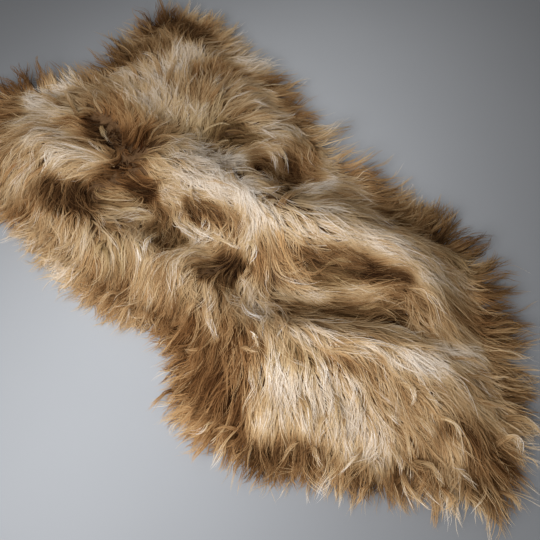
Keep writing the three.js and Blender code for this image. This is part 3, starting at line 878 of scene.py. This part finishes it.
# Locks that stand out from the rest, laid one by one. Each row is three places along a lock from its root to
# its tip and its radius, all in mm, then its tone and warmth.
STANDING_OUT = np.array([
    (-85, 443, -104, 482, -138, 496, 4.4, 10, 0.2), (-79, 378, -69, 434, -66, 476, 2.8, 9, 0),
    (-53, 343, -65, 312, -80, 256, 2.8, 9, -0.3), (-88, 232, -121, 284, -168, 329, 4.3, 10, 0.3),
    (-119, 352, -157, 354, -192, 364, 4.1, 10, 0.3), (-125, 406, -174, 403, -219, 395, 3.8, 9.5, 0.3),
    (-72, 260, -108, 310, -161, 323, 2.9, 9.5, 0.3), (-175, 328, -227, 321, -269, 318, 4.0, 9, 0.5),
    (-175, 306, -219, 300, -252, 277, 2.9, 8.5, 0.4), (-113, 239, -150, 234, -187, 261, 3.1, 9.5, 0.3),
    (-58, 134, -37, 92, -22, 43, 4.0, 10, -0.1), (-27, 203, -29, 160, -25, 117, 3.4, 9.5, -0.1),
    (-5, 170, -9, 125, -8, 75, 4.0, 10, 0), (71, 239, 72, 212, 39, 155, 2.6, 10, -0.2),
    (95, 361, 117, 429, 107, 466, 3.7, 9.5, 0.1), (56, 378, 69, 423, 79, 477, 3.2, 8.5, 0.3),
    (72, 335, 122, 377, 165, 414, 4.4, 8.5, 0.1), (92, 303, 145, 361, 195, 417, 4.7, 9.5, 0),
    (121, 265, 169, 280, 240, 338, 3.8, 8.5, 0.4), (231, 330, 254, 309, 285, 298, 4.0, 10, 0.1),
    (156, 225, 198, 222, 218, 184, 3.8, 10, 0), (26, 121, 83, 170, 115, 166, 2.9, 8.5, -0.3),
    (43, 117, 103, 137, 122, 103, 2.9, 8.5, -0.3), (118, 136, 144, 129, 149, 93, 3.2, 10, -0.1),
    (187, 197, 215, 167, 264, 162, 3.4, 10, 0.1), (175, 181, 170, 144, 174, 105, 2.9, 10, 0),
    (144, 129, 164, 83, 135, 34, 3.5, 10, -0.1), (130, 122, 146, 88, 117, 36, 3.2, 10, -0.1),
    (139, 36, 79, -14, 49, 11, 3.6, 10, 0), (56, -46, 124, -21, 191, -23, 4.0, 10, 0.3),
    (-133, 158, -116, 135, -98, 106, 2.7, 10, -0.3), (-79, 105, -112, 105, -142, 116, 3.0, 10, -0.3),
    (-62, 106, -69, 50, -60, -4, 3.6, 10.5, -0.2), (-56, 83, -53, 27, -34, -27, 3.6, 10.5, -0.2),
    (-45, 30, -35, -13, -20, -52, 2.9, 10, -0.2), (-139, 90, -153, 43, -160, 21, 2.6, 10.5, -0.3),
    (-90, 75, -131, 49, -153, 28, 2.9, 10, -0.3), (-48, -20, -85, -8, -118, -10, 2.9, 10, -0.2),
    (-4, -32, -5, -64, -23, -78, 2.9, 10.5, -0.3), (-16, -68, -32, -82, -51, -89, 2.5, 8.5, 0),
    (-58, -99, -79, -150, -77, -195, 3.6, 10.5, 0.1), (-94, -179, -105, -201, -112, -218, 1.7, 10, -0.2),
    (-107, -78, -131, -120, -142, -163, 3.0, 10, 0.2), (-123, -74, -137, -83, -152, -96, 2.5, 8.5, 0.3),
    (-115, -8, -125, -30, -142, -49, 3.4, 9, 0.1), (-202, -17, -224, -21, -252, -39, 2.3, 8.5, 0.2),
    (-210, 17, -226, 21, -249, 7, 2.3, 8.5, 0.2), (-210, 151, -242, 147, -267, 146, 3.4, 9.5, -0.1),
    (-233, 176, -252, 184, -279, 160, 2.8, 8.5, 0.1), (-178, 107, -199, 95, -215, 81, 2.6, 8, -0.4),
    (-157, -139, -178, -144, -190, -133, 2.1, 7, 0.5), (-129, -189, -121, -207, -115, -226, 1.7, 8.5, 0.1),
    (-123, -215, -139, -239, -153, -273, 2.6, 10, 0.1), (186, -66, 196, -128, 176, -214, 5.0, 10, 0.2),
    (164, -199, 178, -252, 191, -305, 4.6, 10, 0.3), (131, -262, 142, -304, 153, -347, 3.6, 9.5, 0.1),
    (5, -140, 27, -165, 45, -206, 3.1, 9.5, 0.1), (55, -152, 78, -168, 94, -197, 2.2, 7, -0.3),
    (120, -268, 89, -248, 60, -221, 2.7, 7.5, -0.1), (108, -279, 79, -260, 48, -237, 2.4, 6.5, -0.2),
    (-40, -277, -7, -313, 25, -356, 4.3, 10, 0.1), (-26, -275, 11, -312, 55, -361, 4.0, 10, 0.2),
    (57, -329, 83, -368, 148, -400, 3.2, 10, 0.2), (84, -383, 129, -407, 151, -440, 3.3, 9.5, 0.2),
    (124, -416, 146, -445, 170, -467, 2.8, 8.5, 0.1), (113, -305, 105, -327, 103, -354, 2.4, 8.5, 0),
    (129, -323, 121, -341, 115, -365, 2.4, 8.5, 0), (-136, -262, -158, -293, -182, -311, 3.4, 10, 0.1),
    (-126, -269, -152, -299, -181, -321, 3.4, 10, -0.1),
    (-88, -245, -111, -250, -131, -273, 3.4, 10, -0.3), (-94, -298, -110, -336, -130, -376, 3.7, 10, -0.2),
    (-127, -365, -133, -381, -142, -411, 2.9, 9.5, 0.1),
    (-57, -321, -77, -359, -104, -388, 3.1, 9.5, -0.2), (-36, -325, -46, -367, -81, -403, 4.0, 10, -0.1),
    (-64, -408, -94, -418, -131, -428, 2.9, 9.5, 0.1), (-41, -364, -52, -406, -73, -432, 4.0, 10, 0),
    (-138, -349, -154, -354, -186, -365, 2.0, 8, 0.2), (-95, -454, -120, -464, -144, -469, 2.0, 7.5, 0.1),
    (-192, -284, -210, -274, -236, -272, 2.4, 7.5, 0.5),
    (-226, -265, -255, -278, -278, -289, 2.3, 7.5, 0.5), (-234, -170, -259, -177, -285, -187, 2.1, 7, 0.4),
    (-218, -216, -241, -228, -269, -242, 2.7, 7.5, 0.5), (17, -370, 26, -398, 8, -416, 2.6, 10, -0.1),
    (40, -396, 39, -423, 38, -450, 2.9, 9.5, -0.1), (23, -437, 39, -465, 34, -492, 2.6, 10, -0.1),
    (82, -518, 106, -532, 88, -559, 2.4, 10, 0), (37, -571, 34, -594, 32, -610, 2.1, 8.5, 0),
    (-49, -466, -65, -505, -62, -536, 2.6, 9, 0), (-27, -462, -21, -493, -29, -524, 2.6, 9, -0.1),
    (18, -488, 8, -520, 4, -558, 3.2, 9.5, 0), (-24, -518, -35, -542, -54, -546, 1.7, 8, 0.1),
    (126, -501, 141, -528, 132, -559, 2.8, 9, -0.1), (-34, -417, -45, -449, -63, -477, 3.4, 9.5, 0),
    (75, -77, 78, -114, 73, -137, 3.1, 10, 0), (36, -32, 33, -61, 33, -88, 3.4, 10, -0.1),
    (66, 107, 35, 49, 28, -2, 3.6, 10, 0), (9, 90, 14, 48, 21, 2, 3.6, 10, 0),
    (48, 314, 27, 281, 18, 256, 3.0, 9, 0), (206, 273, 228, 253, 247, 235, 3.1, 8.5, 0.4),
    (61, -96, 86, -139, 106, -167, 3.1, 10, 0), (120, -169, 145, -205, 153, -250, 3.7, 10, 0.1),
    (-206, 349, -238, 341, -267, 330, 3.0, 7.5, 0.6), (-193, 109, -194, 79, -210, 61, 2.6, 7.5, -0.5),
    (91, -447, 111, -476, 137, -510, 3.0, 8.5, 0.1), (101, -418, 130, -442, 156, -475, 3.0, 8.5, 0.1),
    (-75, -340, -105, -358, -127, -379, 2.8, 9.5, -0.1), (-14, -384, -17, -404, -19, -429, 3.2, 10, -0.1),
    (4, -406, 10, -440, 9, -471, 3.2, 9.5, -0.1), (-63, -347, -80, -378, -100, -399, 3.1, 9.5, -0.1),
], float)
STANDING_FORM = {"loose_share": 0.2, "drawn_in": (0.2, 0.7), "hook": 0.0, "wave": 0.0020, "stray": 0.0012}
STRANDS_STANDING_OUT = 22
STANDING_TONES = 0.7
LAID_OVER = 0.002  # how far these lie over the rest of the wool
STANDING_ROOT_DEPTH = 0.024
SPREAD_TO = 1.7  # of the radius in the table, as their fibres draw together towards the tip
TONE_SHARE = 0.8  # of the tone in the table, which is that of the palest fibres
STANDING_ROOTS_DARKER = 2

root, middle, tip = (STANDING_OUT[:, k : k + 2, None] / 1000 for k in (0, 2, 4))
share = np.linspace(0, 1, LOCK_STEPS)
line = root * (1 - share) * (1 - 2 * share) + middle * 4 * share * (1 - share) + tip * share * (2 * share - 1)
line = np.moveaxis(line, 1, -1)
height = sampled(wool_height, line) + LAID_OVER - STANDING_ROOT_DEPTH * (1 - share) ** 3
lines = np.concatenate([line, height[..., None]], -1)
radius = STANDING_OUT[:, 6] / 1000 * SPREAD_TO
singled = strands_of(lines, radius, STRANDS_STANDING_OUT, **STANDING_FORM)
count = len(singled)
table_tone, table_warmth = np.repeat(STANDING_OUT[:, 7:], STRANDS_STANDING_OUT, 0).T
singled_tone = TONE_SHARE * table_tone + random.normal(0, STANDING_TONES, count)
to_root = 1 - np.linspace(0, 1, STRAND_POINTS)
singled_tone = np.repeat(singled_tone[:, None], STRAND_POINTS, 1) - STANDING_ROOTS_DARKER * to_root**2
singled_warmth = table_warmth + random.normal(0, 0.1, count)

# All the fibres, shaken together and shared out over the five pieces.
PIECES = 5
PROUD = (0.026, 0.042)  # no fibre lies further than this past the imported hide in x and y

points = np.concatenate([body, wisps, singled])
tone = np.concatenate([body_tone, wisp_tone, singled_tone])
warmth = np.concatenate([body_warmth, wisp_warmth, singled_warmth])
width = np.repeat([STRAND_WIDTH, WISP_WIDTH, WISP_WIDTH], [len(body), len(wisps), len(singled)])
order = random.permutation(len(points))
furthest = np.abs(points[order, :, :2]).max(1)
kept = order[(furthest < np.array(solid_box[1][:2]) + PROUD).all(1)]
for number, rows in enumerate(np.array_split(kept, PIECES)):
    piece = ribbons(f"long_wool_{number + 1}", points[rows], width[rows], tone[rows], warmth[rows])
    piece.data.materials.append(wool)
    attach(piece, "root")
    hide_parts("sheepskin")
